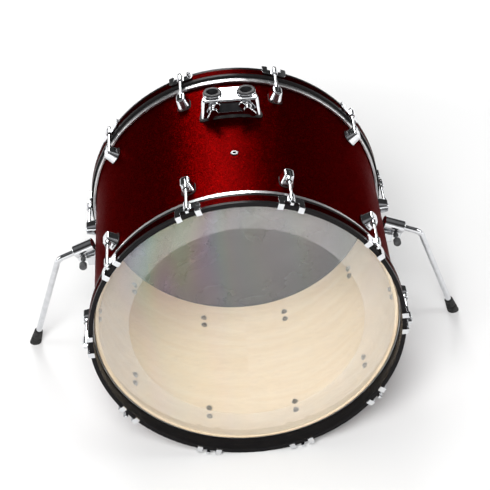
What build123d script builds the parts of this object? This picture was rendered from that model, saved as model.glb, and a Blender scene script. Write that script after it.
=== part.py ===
"""Bass drum, 22 inch by 16 inch: a wood shell with two heads, hoops, lugs, tom bracket and spurs.

The origin is on the floor under the drum's middle.  The drum's axis runs along Y at AXIS_HEIGHT:
the batter side, which the pedal strikes, faces -Y, and the front side faces +Y.  +X is the
drummer's right and +Z is up.  Angles round the drum count from the top, towards +X.
"""
import os
from math import cos, radians, sin

from build123d import *

# ---------------------------------------------------------------- driving dimensions (mm, degrees)
SHELL_RADIUS = 279.4          # 22 inch shell
SHELL_DEPTH = 406.4           # 16 inch shell
SHELL_WALL = 7.0
WRAP_THICKNESS = 0.5
WRAP_MARGIN = 6.2             # bare wood at each end of the shell, under the heads
EDGE_OUTER = (2.1, 2.5)       # bearing edge, outer chamfer: inwards, along the axis
EDGE_INNER = 3.9              # bearing edge, inner 45 degree chamfer

HOOP_OUTER_RADIUS = 290.0
HOOP_THICKNESS = 8.5
HOOP_WIDTH = 32.0
HOOP_OVERHANG = 29.0          # free edge of a hoop beyond the head
HOOP_EDGE_ROUND = 1.6
INLAY_WIDTH = 17.0
INLAY_THICKNESS = 0.6
INLAY_RECESS = 0.15           # the inlay lies this much below the hoop's face

FILM_THICKNESS = 0.3
FLESH_INNER_RADIUS = 280.6
FLESH_OUTER_RADIUS = 286.0
FLESH_DEPTH = 13.0
FLESH_ROUND = 1.2
COLLAR_DEPTH = 12.0
COLLAR_ROUND = 3.3
DAMPING_INNER_RADIUS = 216.0
DAMPING_OUTER_RADIUS = 271.0
DAMPING_THICKNESS = 0.25

LUG_COUNT = 10
LUG_FIRST_ANGLE = 18.0
LUG_WIDTH = 26.0
LUG_LENGTH = 34.0
LUG_FROM_HOOP_EDGE = 90.0     # lug's centre to the hoop's free edge
LUG_GASKET = 1.0
LUG_TOP_RADIUS = 301.3
LUG_TAPER = 12.0
LUG_CORNER = 9.5              # corners of the lug's outline
LUG_EDGE_ROUND = 3.4          # edge round its top
LUG_SINK = 1.5                # drawn this far below its seat, then cut to the shell's curve
LUG_GASKET_MARGIN = 0.8       # the gasket shows this much round the lug
LUG_SCREW_BITE = 7.0
LUG_SCREW_SPACING = 24.0
LUG_BARREL_RADIUS = 6.0
LUG_BARREL_PROUD = 3.0        # the barrel stands this far out of the lug, towards the hoop
LUG_BARREL_START = -4.0       # and starts here, from the lug's middle
LUG_BARREL_ROUND = 1.2
NUT_RADIUS = 4.5
NUT_LENGTH = 18.0
NUT_SET_BACK = 2.0            # from the barrel's end
NUT_BORE_DEPTH = 26.0
NUT_FIT = 0.1

ROD_AXIS_RADIUS = 295.5       # tension rods stand on this circle
ROD_RADIUS = 3.0
ROD_END = 92.0                # rod's inner end, from the hoop's free edge
ROD_FIT = 0.06                # radial clearance of a thread that turns or slides
ROD_HEAD_SIDE = 6.4
ROD_HEAD_LENGTH = 7.3
ROD_HEAD_CHAMFER = 0.8
ROD_COLLAR = (5.0, 2.0)       # radius, thickness
ROD_COLLAR_ROUND = 1.0
ROD_WASHER = (5.3, 1.2)
ROD_WASHER_CLEARANCE = 0.2

CLAW_SPREAD = 37.0            # between the middles of a claw's two hooks
CLAW_HOOK_WIDTH = 10.5
CLAW_PLATE = 3.0
CLAW_LINER = 0.8
CLAW_BRIDGE = (9.0, 22.0)     # from and to, from the hoop's free edge
CLAW_BOSS_RADIUS = 6.0
CLAW_BOSS_END = 25.0
CLAW_HOOK_REACH = 8.2         # how far a hook reaches over the hoop's edge, inwards
CLAW_CORNER = 6.0
CLAW_BOSS_ROUND = 1.0
CLAW_HOLE_CLEARANCE = 0.4
LINER_MARGIN = 0.5            # a liner is this much inside its hook, each side
LINER_END = 16.0              # from the hoop's free edge

VENT_DEPTH = -57.0
VENT_FLANGE = (7.2, 1.8)      # radius, height
VENT_FLANGE_ROUND = 1.08
VENT_BARREL_RADIUS = 4.6
VENT_BARREL_PROUD = 1.0       # out of the nut, inside the shell
VENT_HOLE_RADIUS = 3.2
VENT_NUT = (8.0, 2.5)
VENT_NUT_GAP = 0.15

BRACKET_NEAR = 66.0           # the tom bracket's edge nearest to the drummer
BRACKET_FAR = 132.0
BRACKET_NEAR_WIDTH = 119.0
BRACKET_FAR_WIDTH = 97.0
BRACKET_TOP = 604.0
BRACKET_LOW_INSET = 1.5       # the block's foot inside the outline, on every side
BRACKET_HIGH_INSETS = (7.0, 12.0, 5.0)   # its top inside the outline: near, far, sides
BRACKET_FOOT_ANGLE = 14.0     # the block is drawn down to the shell's height at this angle
BRACKET_WALL = 4.0
BRACKET_CORNER = 7.0
BRACKET_TOP_ROUND = 3.5
BRACKET_WINDOW = (40.0, 579.5, 598.0)    # half width, low, high: opening in the near wall
BRACKET_WINDOW_CORNER = 5.0
BRACKET_GASKET = 3.0
BRACKET_GASKET_MARGIN = 1.0
BRACKET_PLATE_INSET = 2.0     # the backing plate is this much smaller than the outline
BRACKET_PAD_CORNER = 8.0
BRACKET_BOLT_BOSS = 6.5
BRACKET_BOLT_BITE = 8.0
BRACKET_BOLT_HOLE = 15.0      # depth of a bolt's hole, from the shell's outside
COVER_MARGIN = 1.5            # the black cover behind the window overlaps its edge
COVER_THICKNESS = 1.8
SOCKET_SPREAD = 62.6
SOCKET_DEPTH = 97.0           # where the sockets stand along the drum
SOCKET_RADIUS = 11.25         # for a 22.2 mm tom tube
BUSH_RADIUS = 14.0
BUSH_FLANGE = (17.0, 2.5)     # radius, height
BUSH_FLANGE_ROUND = 1.0
BUSH_FIT = 0.05
BUSH_BELOW_SHELL = 4.0        # how far a bush comes out inside the shell
SOCKET_WALL = 4.0
SOCKET_RIM_HEIGHT = 3.0
SOCKET_RIM_ROUND = 1.5
SOCKET_LENGTH = 60.0
WING_BOLT_RADIUS = 4.0
WING_BOLT_HEIGHT = 591.0
WING_NOSE = (8.5, 3.0)        # threaded nose: radius, and how far it stands out of the bracket
WING_NOSE_ROUND = 1.5
WING_HUB = (7.5, 11.0, 1.5)   # radius, length, gap to the nose
WING_HUB_ROUND = 1.5
WING_SPAN = 40.0
WING_SIZE = (11.0, 4.0)       # height, thickness
WING_ROUND = 1.2
WING_SLANTS = {"right": 45.0, "left": -60.0}   # where each bolt's wings stopped
PAD_GAP = 0.1                 # between a bolt's tip, its pad and the tube
BRACKET_BOLTS = ((-9.6, 79.0), (9.6, 79.0), (-8.0, 122.0), (8.0, 122.0))   # angle, depth

SPUR_ANGLE = 99.0             # the spur bracket's place on the shell
SPUR_BRACKET_DEPTH = 100.0
SPUR_PLATE = (46.0, 44.0, 5.0)
SPUR_PLATE_CORNER = 8.0
SPUR_PLATE_ROUND = 1.5
SPUR_PLATE_SINK = 2.0         # drawn this far below its seat, then cut to the shell's curve
SPUR_PEDESTAL = (32.0, 24.0, 9.0)        # side, height above the seat, taper
SPUR_PEDESTAL_MIDDLE = (-4.0, 3.0)
SPUR_GASKET = 1.5
SPUR_GASKET_MARGIN = 1.0
SPUR_ARM_ROOT = (292.0, 105.0, 275.0)
SPUR_BEND = (361.2, 105.0, 246.0)
SPUR_FLOOR_POINT = (438.0, 158.0, 0.0)
SPUR_BEND_RADIUS = 24.0
SPUR_RADIUS = 6.0
SPUR_SLEEVE_RADIUS = 8.0
SPUR_TOWER_RADIUS = 13.0
SPUR_TOWER_LENGTH = 38.0
SPUR_TOWER_ROOT = 4.0         # the tower starts this far before the arm's root
SPUR_TOWER_ROUND = 2.0
SPUR_EAR = (24.0, 18.0, 22.0) # reach, thickness over both ears, length along the arm
SPUR_EAR_ROUND = 6.0
SPUR_EAR_INSET = 1.0
SPUR_SLIT = 2.4
SPUR_SLIT_DEPTH = 3.0         # past the ears, along the arm
SPUR_BORE_START = -6.0
SPUR_SCREW_RADIUS = 3.0
SPUR_SCREW_INSET = 7.5        # from the ears' ends
SPUR_SCREW_ENDS = (20.0, 3.0) # past the ears, on the knob's side and behind
SPUR_KNOB = (7.5, 13.0)       # radius, length
SPUR_KNOB_REACH = 17.0
SPUR_KNOB_ROUND = 2.5
SPUR_COLLAR = (5.2, 0.3, 2.5) # radius, from and to, from the ear
SPUR_ARM_START = 3.0          # the rod starts this far before the arm's root
SPUR_LEG_STOP = 9.0           # and ends this far before the floor
SPUR_FOOT = (12.0, 8.6, 38.0) # bottom and top radius, length
SPUR_FOOT_SINK = 6.0          # drawn this far below the floor, then cut flat
SPUR_FOOT_ROUND = 2.0
SPUR_GROOVE = (0.62, 2.4)     # its place along the foot, width
SPUR_BOLTS = ((-16.0, -15.0), (-16.0, 15.0), (16.0, -15.0), (16.0, 15.0))
SPUR_BOLT_DROP = 1.1          # the washers clear the plate's curve by this much
BOLT_BITE = 3.5               # how far a spur bolt goes into the bracket
SPUR_BOLT_GAP = 0.75          # and its hole goes this much further

PLATE_THICKNESS = 2.0         # backing plates inside the shell
PLATE_GAP = 0.05
PLATE_CORNER = 6.0

BOLT_RADIUS = 3.0             # the bolts that hold the brackets
SCREW_RADIUS = 2.5            # the screws that hold the lugs
HOLE_CLEARANCE = 0.25
FASTENER_GAP = 0.5            # a lug screw ends this far before its hole does
WASHER_RADIUS = 6.0
BOLT_WASHER_RADIUS = 6.5
WASHER_HEIGHT = 1.3
WASHER_GAP = 0.12
WASHER_CLEARANCE = 0.1
HEAD_RATIO = 1.75             # a screw's head to its shaft
HEAD_HEIGHT = 3.4
HEAD_ROUND = 1.4
DRIVE_SLOT = (1.9, 1.1, 2.4)  # length as a share of the shaft's radius, width, twice the depth

LONG = 80.0                   # a cut or drawn length that is longer than whatever it meets

# ---------------------------------------------------------------- worked out from them
AXIS_HEIGHT = HOOP_OUTER_RADIUS               # both hoops stand on the floor
HALF_SHELL = SHELL_DEPTH / 2
SHELL_INNER_RADIUS = SHELL_RADIUS - SHELL_WALL
WRAP_RADIUS = SHELL_RADIUS + WRAP_THICKNESS
FREE_EDGE = HALF_SHELL + HOOP_OVERHANG        # a hoop's free edge, from the drum's middle
HOOP_INNER_RADIUS = HOOP_OUTER_RADIUS - HOOP_THICKNESS
HOOP_BACK = FREE_EDGE - HOOP_WIDTH            # where a hoop presses on the flesh hoop
LUG_DEPTH = FREE_EDGE - LUG_FROM_HOOP_EDGE
LUG_SEAT = WRAP_RADIUS + LUG_GASKET
LUG_HEIGHT = LUG_TOP_RADIUS - LUG_SEAT
ROD_HEIGHT = ROD_AXIS_RADIUS - HOOP_OUTER_RADIUS
BRACKET_SEAT = WRAP_RADIUS + BRACKET_GASKET
SPUR_SEAT = WRAP_RADIUS + SPUR_GASKET
LUG_ANGLES = [LUG_FIRST_ANGLE + i * 360.0 / LUG_COUNT for i in range(LUG_COUNT)]
SOCKETS = {"left": -SOCKET_SPREAD / 2, "right": SOCKET_SPREAD / 2}
SIDES = {"batter": 180.0, "front": 0.0}       # turn about the outward direction that faces a side
UPRIGHT = Rot(90, 0, 0)                       # turns a cylinder's axis from Z to Y


# ---------------------------------------------------------------- helpers
def station(angle, radius, depth):
    """Frame on the drum: X runs round it, Y along its axis, Z straight out."""
    a = radians(angle)
    return Location((radius * sin(a), depth, AXIS_HEIGHT + radius * cos(a)), (0, angle, 0))


def side_station(angle, radius, depth, side):
    """The same frame with +Y towards the hoop of the given side."""
    sign = 1 if side == "front" else -1
    return station(angle, radius, sign * depth) * Rot(0, 0, SIDES[side])


def revolved(profile):
    """Turn a radius-depth profile round the drum's axis."""
    return Pos(0, 0, AXIS_HEIGHT) * revolve(profile, axis=Axis.Y)


def ring(inner, outer, low, high):
    """Plain ring round the drum's axis."""
    length = high - low
    tube = Cylinder(outer, length) - Cylinder(inner, length)
    return Pos(0, (low + high) / 2, AXIS_HEIGHT) * UPRIGHT * tube


def drum_cylinder(radius, length=2 * SHELL_DEPTH):
    """Solid cylinder on the drum's axis, used to seat pieces on a curved face."""
    return Pos(0, 0, AXIS_HEIGHT) * UPRIGHT * Cylinder(radius, length)


def local_cylinder(radius, length=2 * LONG):
    """The drum's cylinder as a station's frame at that radius sees it."""
    return Pos(0, 0, -radius) * UPRIGHT * Cylinder(radius, length)


def local_ring(inner, outer, frame_radius, low, high):
    """Ring round the drum's axis as a station's frame at frame_radius sees it."""
    length = high - low
    tube = Cylinder(outer, length) - Cylinder(inner, length)
    return Pos(0, (low + high) / 2, -frame_radius) * UPRIGHT * tube


def box(x_range, y_range, z_range):
    """Box between two corners."""
    size = [b - a for a, b in (x_range, y_range, z_range)]
    middle = [(a + b) / 2 for a, b in (x_range, y_range, z_range)]
    return Pos(*middle) * Box(*size)


def rod_along_y(radius, low, high, height=0.0):
    """Round bar along a frame's Y axis."""
    return Pos(0, (low + high) / 2, height) * UPRIGHT * Cylinder(radius, high - low)


def mirrored(piece):
    """The left-hand twin of a right-hand piece."""
    return mirror(piece, about=Plane.YZ)


def save(name, piece):
    """Write one sub-part; a list is a group of separate solids."""
    if isinstance(piece, list):
        piece = Compound(children=[solid for item in piece for solid in item.solids()])
    export_step(piece, f"parts/{name}.step")


# ---------------------------------------------------------------- shell
def holes():
    """Everything that is drilled through the shell, its wrap and the gaskets."""
    drills = []
    for side in SIDES:
        for angle in LUG_ANGLES:
            for offset in (-LUG_SCREW_SPACING / 2, LUG_SCREW_SPACING / 2):
                place = side_station(angle, SHELL_RADIUS, LUG_DEPTH, side) * Pos(0, offset, 0)
                drills.append(place * Cylinder(SCREW_RADIUS + HOLE_CLEARANCE, LONG))
    vent = Cylinder(VENT_BARREL_RADIUS + HOLE_CLEARANCE, LONG)
    drills.append(station(0, SHELL_RADIUS, VENT_DEPTH) * vent)
    bolt_hole = Cylinder(BOLT_RADIUS + HOLE_CLEARANCE, LONG)
    for angle, depth in BRACKET_BOLTS:
        drills.append(station(angle, SHELL_RADIUS, depth) * bolt_hole)
    for x in SOCKETS.values():
        drills.append(Pos(x, SOCKET_DEPTH, AXIS_HEIGHT + SHELL_RADIUS) * Cylinder(BUSH_RADIUS, LONG))
    for frame in spur_frames():
        drills += [frame * Pos(x, y, 0) * bolt_hole for x, y in SPUR_BOLTS]
    return drills


def shell():
    """Wood shell with a bearing edge at each end."""
    inward, along = EDGE_OUTER
    peak = SHELL_INNER_RADIUS + EDGE_INNER
    half = [
        (SHELL_INNER_RADIUS, HALF_SHELL - EDGE_INNER),
        (peak, HALF_SHELL),
        (SHELL_RADIUS - inward, HALF_SHELL),
        (SHELL_RADIUS, HALF_SHELL - along),
    ]
    outline = half + [(r, -y) for r, y in reversed(half)]
    return revolved(make_face(Polyline(*outline, close=True))) - holes()


def shell_wrap():
    """Sparkle sheet glued round the shell."""
    end = HALF_SHELL - WRAP_MARGIN
    return ring(SHELL_RADIUS, WRAP_RADIUS, -end, end) - holes()


def vent_grommet():
    """Metal eyelet that lets the air out of the shell."""
    flange_radius, flange_height = VENT_FLANGE
    nut_radius, nut_height = VENT_NUT
    flange = Pos(0, 0, WRAP_THICKNESS + flange_height / 2) * Cylinder(flange_radius, flange_height)
    flange = fillet(flange.edges().sort_by(Axis.Z)[-1], VENT_FLANGE_ROUND)
    barrel_low = -SHELL_WALL - nut_height - VENT_BARREL_PROUD
    barrel = Pos(0, 0, (barrel_low + WRAP_THICKNESS) / 2) * Cylinder(
        VENT_BARREL_RADIUS, WRAP_THICKNESS - barrel_low)
    eyelet = flange + barrel - Cylinder(VENT_HOLE_RADIUS, LONG)
    nut_top = -SHELL_WALL - VENT_NUT_GAP
    nut = Pos(0, 0, nut_top - nut_height / 2) * (
        Cylinder(nut_radius, nut_height) - Cylinder(VENT_BARREL_RADIUS, nut_height))
    place = station(0, SHELL_RADIUS, VENT_DEPTH)
    return place * eyelet, place * nut


# ---------------------------------------------------------------- heads and hoops
def for_side(piece, side):
    """Pieces of the heads are drawn for the front side and turned round for the batter side."""
    return piece if side == "front" else Rot(0, 0, 180) * piece


def cup_profile(radius, low, high, corner):
    """Half section of a closed cup with one rounded rim."""
    section = Pos(radius / 2, (low + high) / 2) * Rectangle(radius, high - low)
    rim = section.vertices().sort_by(lambda v: v.X + v.Y)[-1]
    return fillet(rim, corner)


def film():
    """Drumhead film with its collar, which goes down inside the flesh hoop."""
    top = HALF_SHELL + FILM_THICKNESS
    low = HALF_SHELL - COLLAR_DEPTH
    outer = revolved(cup_profile(FLESH_INNER_RADIUS, low, top, COLLAR_ROUND))
    inner_corner = COLLAR_ROUND - FILM_THICKNESS
    inner = revolved(cup_profile(FLESH_INNER_RADIUS - FILM_THICKNESS, low, HALF_SHELL, inner_corner))
    return outer - inner


def rounded_ring(inner, outer, low, high, corner):
    """Ring with rounded edges."""
    section = RectangleRounded(outer - inner, high - low, corner)
    return revolved(Pos((inner + outer) / 2, (low + high) / 2) * section)


def hoop():
    """Wood hoop with a shallow channel for its inlay."""
    body = rounded_ring(HOOP_INNER_RADIUS, HOOP_OUTER_RADIUS, HOOP_BACK, FREE_EDGE, HOOP_EDGE_ROUND)
    middle = (HOOP_BACK + FREE_EDGE) / 2
    low, high = middle - INLAY_WIDTH / 2, middle + INLAY_WIDTH / 2
    floor = HOOP_OUTER_RADIUS - INLAY_THICKNESS - INLAY_RECESS
    channel = ring(floor, HOOP_OUTER_RADIUS + INLAY_THICKNESS, low, high)
    return body - channel, ring(floor, floor + INLAY_THICKNESS, low, high)


# ---------------------------------------------------------------- lugs
def lug():
    """Cast lug: a tapered block with a round barrel towards the hoop.  Z = 0 is its seat."""
    base = RectangleRounded(LUG_WIDTH, LUG_LENGTH, LUG_CORNER)
    block = extrude(Pos(0, 0, -LUG_SINK) * base, LUG_HEIGHT + LUG_SINK, taper=LUG_TAPER)
    block = fillet(block.faces().sort_by(Axis.Z)[-1].edges(), LUG_EDGE_ROUND)
    rod_height = ROD_AXIS_RADIUS - LUG_SEAT
    barrel_end = LUG_LENGTH / 2 + LUG_BARREL_PROUD
    barrel = rod_along_y(LUG_BARREL_RADIUS, LUG_BARREL_START, barrel_end, rod_height)
    barrel = fillet(barrel.edges().filter_by(GeomType.CIRCLE), LUG_BARREL_ROUND)
    body = block + barrel - local_cylinder(LUG_SEAT)
    body -= rod_along_y(NUT_RADIUS + NUT_FIT, barrel_end - NUT_BORE_DEPTH, barrel_end + 1, rod_height)
    for offset in (-LUG_SCREW_SPACING / 2, LUG_SCREW_SPACING / 2):
        body -= Pos(0, offset, 0) * Cylinder(SCREW_RADIUS, 2 * LUG_SCREW_BITE)
    return body


def lug_nut():
    """Threaded insert in the lug's barrel."""
    start = LUG_LENGTH / 2 + LUG_BARREL_PROUD - NUT_SET_BACK
    tube = rod_along_y(NUT_RADIUS, start - NUT_LENGTH, start) - rod_along_y(
        ROD_RADIUS + ROD_FIT, start - NUT_LENGTH - 1, start + 1)
    return Pos(0, 0, ROD_AXIS_RADIUS - LUG_SEAT) * tube


def lug_gasket():
    """Thin rubber seat between a lug and the wrap.  Z = 0 is the wrap's face."""
    width, length = LUG_WIDTH + 2 * LUG_GASKET_MARGIN, LUG_LENGTH + 2 * LUG_GASKET_MARGIN
    outline = RectangleRounded(width, length, LUG_CORNER + LUG_GASKET_MARGIN)
    block = extrude(Pos(0, 0, -LUG_HEIGHT / 2) * outline, LUG_HEIGHT)
    seat = block & local_ring(WRAP_RADIUS, LUG_SEAT, WRAP_RADIUS, -LUG_LENGTH, LUG_LENGTH)
    for offset in (-LUG_SCREW_SPACING / 2, LUG_SCREW_SPACING / 2):
        seat -= Pos(0, offset, 0) * Cylinder(SCREW_RADIUS + HOLE_CLEARANCE, LUG_HEIGHT)
    return seat


def inner_fastener(radius, washer_radius, reach):
    """Screw or bolt driven outwards from inside the shell, and its washer.

    Z = 0 is the face that the washer lies on.
    """
    washer = Pos(0, 0, -WASHER_GAP - WASHER_HEIGHT / 2) * (
        Cylinder(washer_radius, WASHER_HEIGHT) - Cylinder(radius + WASHER_CLEARANCE, WASHER_HEIGHT))
    under = -WASHER_GAP - WASHER_HEIGHT
    head = Pos(0, 0, under - HEAD_HEIGHT / 2) * Cylinder(radius * HEAD_RATIO, HEAD_HEIGHT)
    head = fillet(head.edges().sort_by(Axis.Z)[0], HEAD_ROUND)
    slot_length, slot_width, slot_height = DRIVE_SLOT
    for turn in (0, 90):
        slot = Rot(0, 0, turn) * Box(radius * slot_length, slot_width, slot_height)
        head -= Pos(0, 0, under - HEAD_HEIGHT) * slot
    shaft = Pos(0, 0, (under + reach) / 2) * Cylinder(radius, reach - under)
    return head + shaft, washer


# ---------------------------------------------------------------- claws and tension rods
def claw_plan(front):
    """Outline of a claw from above: two hooks, which start at front, joined by a bridge.

    Y = 0 is the hoop's free edge, and +Y is towards the lug.
    """
    start, end = CLAW_BRIDGE
    length = end - front
    outline = Pos(0, (start + end) / 2) * Rectangle(CLAW_SPREAD + CLAW_HOOK_WIDTH, end - start)
    for x in (-CLAW_SPREAD / 2, CLAW_SPREAD / 2):
        outline += Pos(x, front + length / 2) * Rectangle(CLAW_HOOK_WIDTH, length)
    corners = outline.vertices().group_by(Axis.Y)[-1]
    return fillet(corners, CLAW_CORNER)


def claw():
    """Claw hook: two hooks over the hoop's edge, and a boss for the rod.  Z = 0 is the hoop's face."""
    low = HOOP_OUTER_RADIUS + CLAW_LINER
    high = low + CLAW_PLATE
    front = -CLAW_LINER - CLAW_PLATE
    half_hook = CLAW_HOOK_WIDTH / 2
    plan = extrude(Pos(0, 0, -LONG / 2) * claw_plan(front), LONG)
    saddle = plan & local_ring(low, high, HOOP_OUTER_RADIUS, front, CLAW_BOSS_END)
    hooks = Part()
    for x in (-CLAW_SPREAD / 2, CLAW_SPREAD / 2):
        hooks += box((x - half_hook, x + half_hook), (front, -CLAW_LINER), (-LONG / 2, LONG / 2))
    inner = HOOP_OUTER_RADIUS - CLAW_HOOK_REACH
    hooks &= local_ring(inner, high, HOOP_OUTER_RADIUS, front, -CLAW_LINER)
    boss = rod_along_y(CLAW_BOSS_RADIUS, CLAW_BRIDGE[0], CLAW_BOSS_END, ROD_HEIGHT)
    boss = fillet(boss.edges().filter_by(GeomType.CIRCLE), CLAW_BOSS_ROUND)
    foot = box((-CLAW_BOSS_RADIUS, CLAW_BOSS_RADIUS), CLAW_BRIDGE, (0, ROD_HEIGHT))
    under = Pos(0, 0, CLAW_LINER) * local_cylinder(HOOP_OUTER_RADIUS)
    hole = rod_along_y(ROD_RADIUS + CLAW_HOLE_CLEARANCE, 0, LONG, ROD_HEIGHT)
    return saddle + hooks + (boss + foot - under) - hole


def claw_liner():
    """Rubber strips that keep a claw off the hoop's finish."""
    low = HOOP_OUTER_RADIUS
    high = low + CLAW_LINER
    half_width = CLAW_HOOK_WIDTH / 2 - LINER_MARGIN
    inner = low - CLAW_HOOK_REACH + LINER_MARGIN
    strips = []
    for x in (-CLAW_SPREAD / 2, CLAW_SPREAD / 2):
        column = box((x - half_width, x + half_width), (-CLAW_LINER, LINER_END), (-LONG / 2, LONG / 2))
        top = column & local_ring(low, high, low, -CLAW_LINER, LONG)
        lip = column & local_ring(inner, high, low, -CLAW_LINER, 0)
        strips.append(top + lip)
    return strips


def tension_rod():
    """Key rod with a square head and a collar."""
    washer_start = CLAW_BRIDGE[0] - ROD_WASHER[1]
    collar_radius, collar_length = ROD_COLLAR
    collar_start = washer_start - collar_length
    shaft = rod_along_y(ROD_RADIUS, collar_start, ROD_END)
    collar = rod_along_y(collar_radius, collar_start, washer_start)
    rim = collar.edges().filter_by(GeomType.CIRCLE).sort_by(Axis.Y)[0]
    collar = fillet(rim, ROD_COLLAR_ROUND)
    square = Box(ROD_HEAD_SIDE, ROD_HEAD_LENGTH, ROD_HEAD_SIDE)
    head = Pos(0, collar_start - ROD_HEAD_LENGTH / 2, 0) * square
    head = chamfer(head.faces().sort_by(Axis.Y)[0].edges(), ROD_HEAD_CHAMFER)
    return Pos(0, 0, ROD_HEIGHT) * (shaft + collar + head)


def rod_washer():
    """Flat washer between a rod's collar and the claw."""
    radius, height = ROD_WASHER
    end = CLAW_BRIDGE[0]
    hole = rod_along_y(ROD_RADIUS + ROD_WASHER_CLEARANCE, 0, LONG)
    return Pos(0, 0, ROD_HEIGHT) * (rod_along_y(radius, end - height, end) - hole)


def claw_frames(side):
    """Frames of the claws: +Y points from the hoop's free edge towards the lug."""
    about = Rot(0, 0, 180)
    return [side_station(a, HOOP_OUTER_RADIUS, FREE_EDGE, side) * about for a in LUG_ANGLES]


# ---------------------------------------------------------------- tom bracket
def bracket_outline(height, inset_near, inset_far, inset_side):
    """The tom bracket's four-sided outline at one height."""
    near = BRACKET_NEAR + inset_near
    far = BRACKET_FAR - inset_far
    near_half = BRACKET_NEAR_WIDTH / 2 - inset_side
    far_half = BRACKET_FAR_WIDTH / 2 - inset_side
    corners = [(-near_half, near), (near_half, near), (far_half, far), (-far_half, far)]
    return Pos(0, 0, height) * make_face(Polyline(*corners, close=True))


def bracket_block(top, wall):
    """Tapered block of the tom bracket, made smaller all round by a wall."""
    bottom = AXIS_HEIGHT + SHELL_RADIUS * cos(radians(BRACKET_FOOT_ANGLE))
    low = bracket_outline(bottom, *[BRACKET_LOW_INSET + wall] * 3)
    high = bracket_outline(top, *[inset + wall for inset in BRACKET_HIGH_INSETS])
    return loft([low.face(), high.face()], ruled=True)


def bracket_window(grow):
    """Prism of the opening in the bracket's near wall, made larger all round."""
    half, low, high = BRACKET_WINDOW
    outline = RectangleRounded(2 * (half + grow), high - low + 2 * grow, BRACKET_WINDOW_CORNER + grow)
    upright = UPRIGHT * extrude(outline, SOCKET_DEPTH - BRACKET_NEAR)
    back = SOCKET_DEPTH - BUSH_RADIUS - SOCKET_WALL
    return Pos(0, back, (low + high) / 2) * upright


def wing_nose(x, radius):
    """Threaded nose in the near wall, which the wing bolt goes through."""
    proud = WING_NOSE[1]
    bar = rod_along_y(radius, BRACKET_NEAR - proud, SOCKET_DEPTH - BUSH_RADIUS)
    return Pos(x, 0, WING_BOLT_HEIGHT) * bar


def tom_bracket():
    """Cast bracket with two upright sockets and a threaded nose for each wing bolt."""
    block = bracket_block(BRACKET_TOP, 0)
    upright = block.edges().filter_by(lambda e: abs(e.tangent_at(0.5).Z) > 0.8)
    block = fillet(upright, BRACKET_CORNER)
    block = fillet(block.faces().sort_by(Axis.Z)[-1].edges(), BRACKET_TOP_ROUND)
    block -= bracket_window(0)
    kept = Part()
    rims = Part()
    holes_in_it = []
    for x in SOCKETS.values():
        rim_top = BRACKET_TOP + SOCKET_RIM_HEIGHT
        socket = Cylinder(BUSH_RADIUS + SOCKET_WALL, SOCKET_LENGTH)
        kept += Pos(x, SOCKET_DEPTH, rim_top - SOCKET_LENGTH / 2) * socket
        kept += wing_nose(x, WING_NOSE[0])
        holes_in_it.append(Pos(x, SOCKET_DEPTH, BRACKET_TOP) * Cylinder(BUSH_RADIUS, 2 * SOCKET_LENGTH))
        bore = rod_along_y(WING_BOLT_RADIUS + ROD_FIT, 0, SOCKET_DEPTH)
        holes_in_it.append(Pos(x, 0, WING_BOLT_HEIGHT) * bore)
        rim = Cylinder(BUSH_RADIUS + SOCKET_WALL, SOCKET_RIM_HEIGHT)
        rim = Pos(x, SOCKET_DEPTH, rim_top - SOCKET_RIM_HEIGHT / 2) * rim
        rims += fillet(rim.edges().sort_by(Axis.Z)[-1], SOCKET_RIM_ROUND)
        nose = wing_nose(x, WING_NOSE[0])
        end = nose.edges().filter_by(GeomType.CIRCLE).sort_by(Axis.Y)[0]
        rims += fillet(end, WING_NOSE_ROUND)
    for angle, depth in BRACKET_BOLTS:
        boss = Cylinder(BRACKET_BOLT_BOSS, LONG)
        kept += station(angle, SHELL_RADIUS, depth) * boss
        bolt = Cylinder(BOLT_RADIUS, 2 * BRACKET_BOLT_HOLE)
        holes_in_it.append(station(angle, SHELL_RADIUS, depth) * bolt)
    hollow = bracket_block(BRACKET_TOP - BRACKET_WALL, BRACKET_WALL) - kept
    return block + rims - hollow - drum_cylinder(BRACKET_SEAT) - holes_in_it


def bracket_cover():
    """Black cover behind the bracket's window, cut away round the bolts' noses."""
    top = BRACKET_TOP - BRACKET_WALL
    sheet = bracket_block(top, BRACKET_WALL) - bracket_block(top, BRACKET_WALL + COVER_THICKNESS)
    cover = sheet & bracket_window(COVER_MARGIN)
    for x in SOCKETS.values():
        cover -= wing_nose(x, WING_NOSE[0] + WASHER_CLEARANCE)
    return max(cover.solids(), key=lambda solid: solid.volume)


def bracket_pad(inner, outer, grow):
    """Curved pad in the bracket's outline between two radii of the drum."""
    height = AXIS_HEIGHT + SHELL_RADIUS - LONG / 2
    outline = bracket_outline(height, -grow, -grow, -grow)
    outline = fillet(outline.vertices(), BRACKET_PAD_CORNER)
    pad = extrude(outline, LONG) & ring(inner, outer, 0, HALF_SHELL)
    for x in SOCKETS.values():
        pad -= Pos(x, SOCKET_DEPTH, BRACKET_TOP) * Cylinder(BUSH_RADIUS, 2 * LONG)
    for angle, depth in BRACKET_BOLTS:
        pad -= station(angle, SHELL_RADIUS, depth) * Cylinder(BOLT_RADIUS + HOLE_CLEARANCE, LONG)
    return pad


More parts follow.
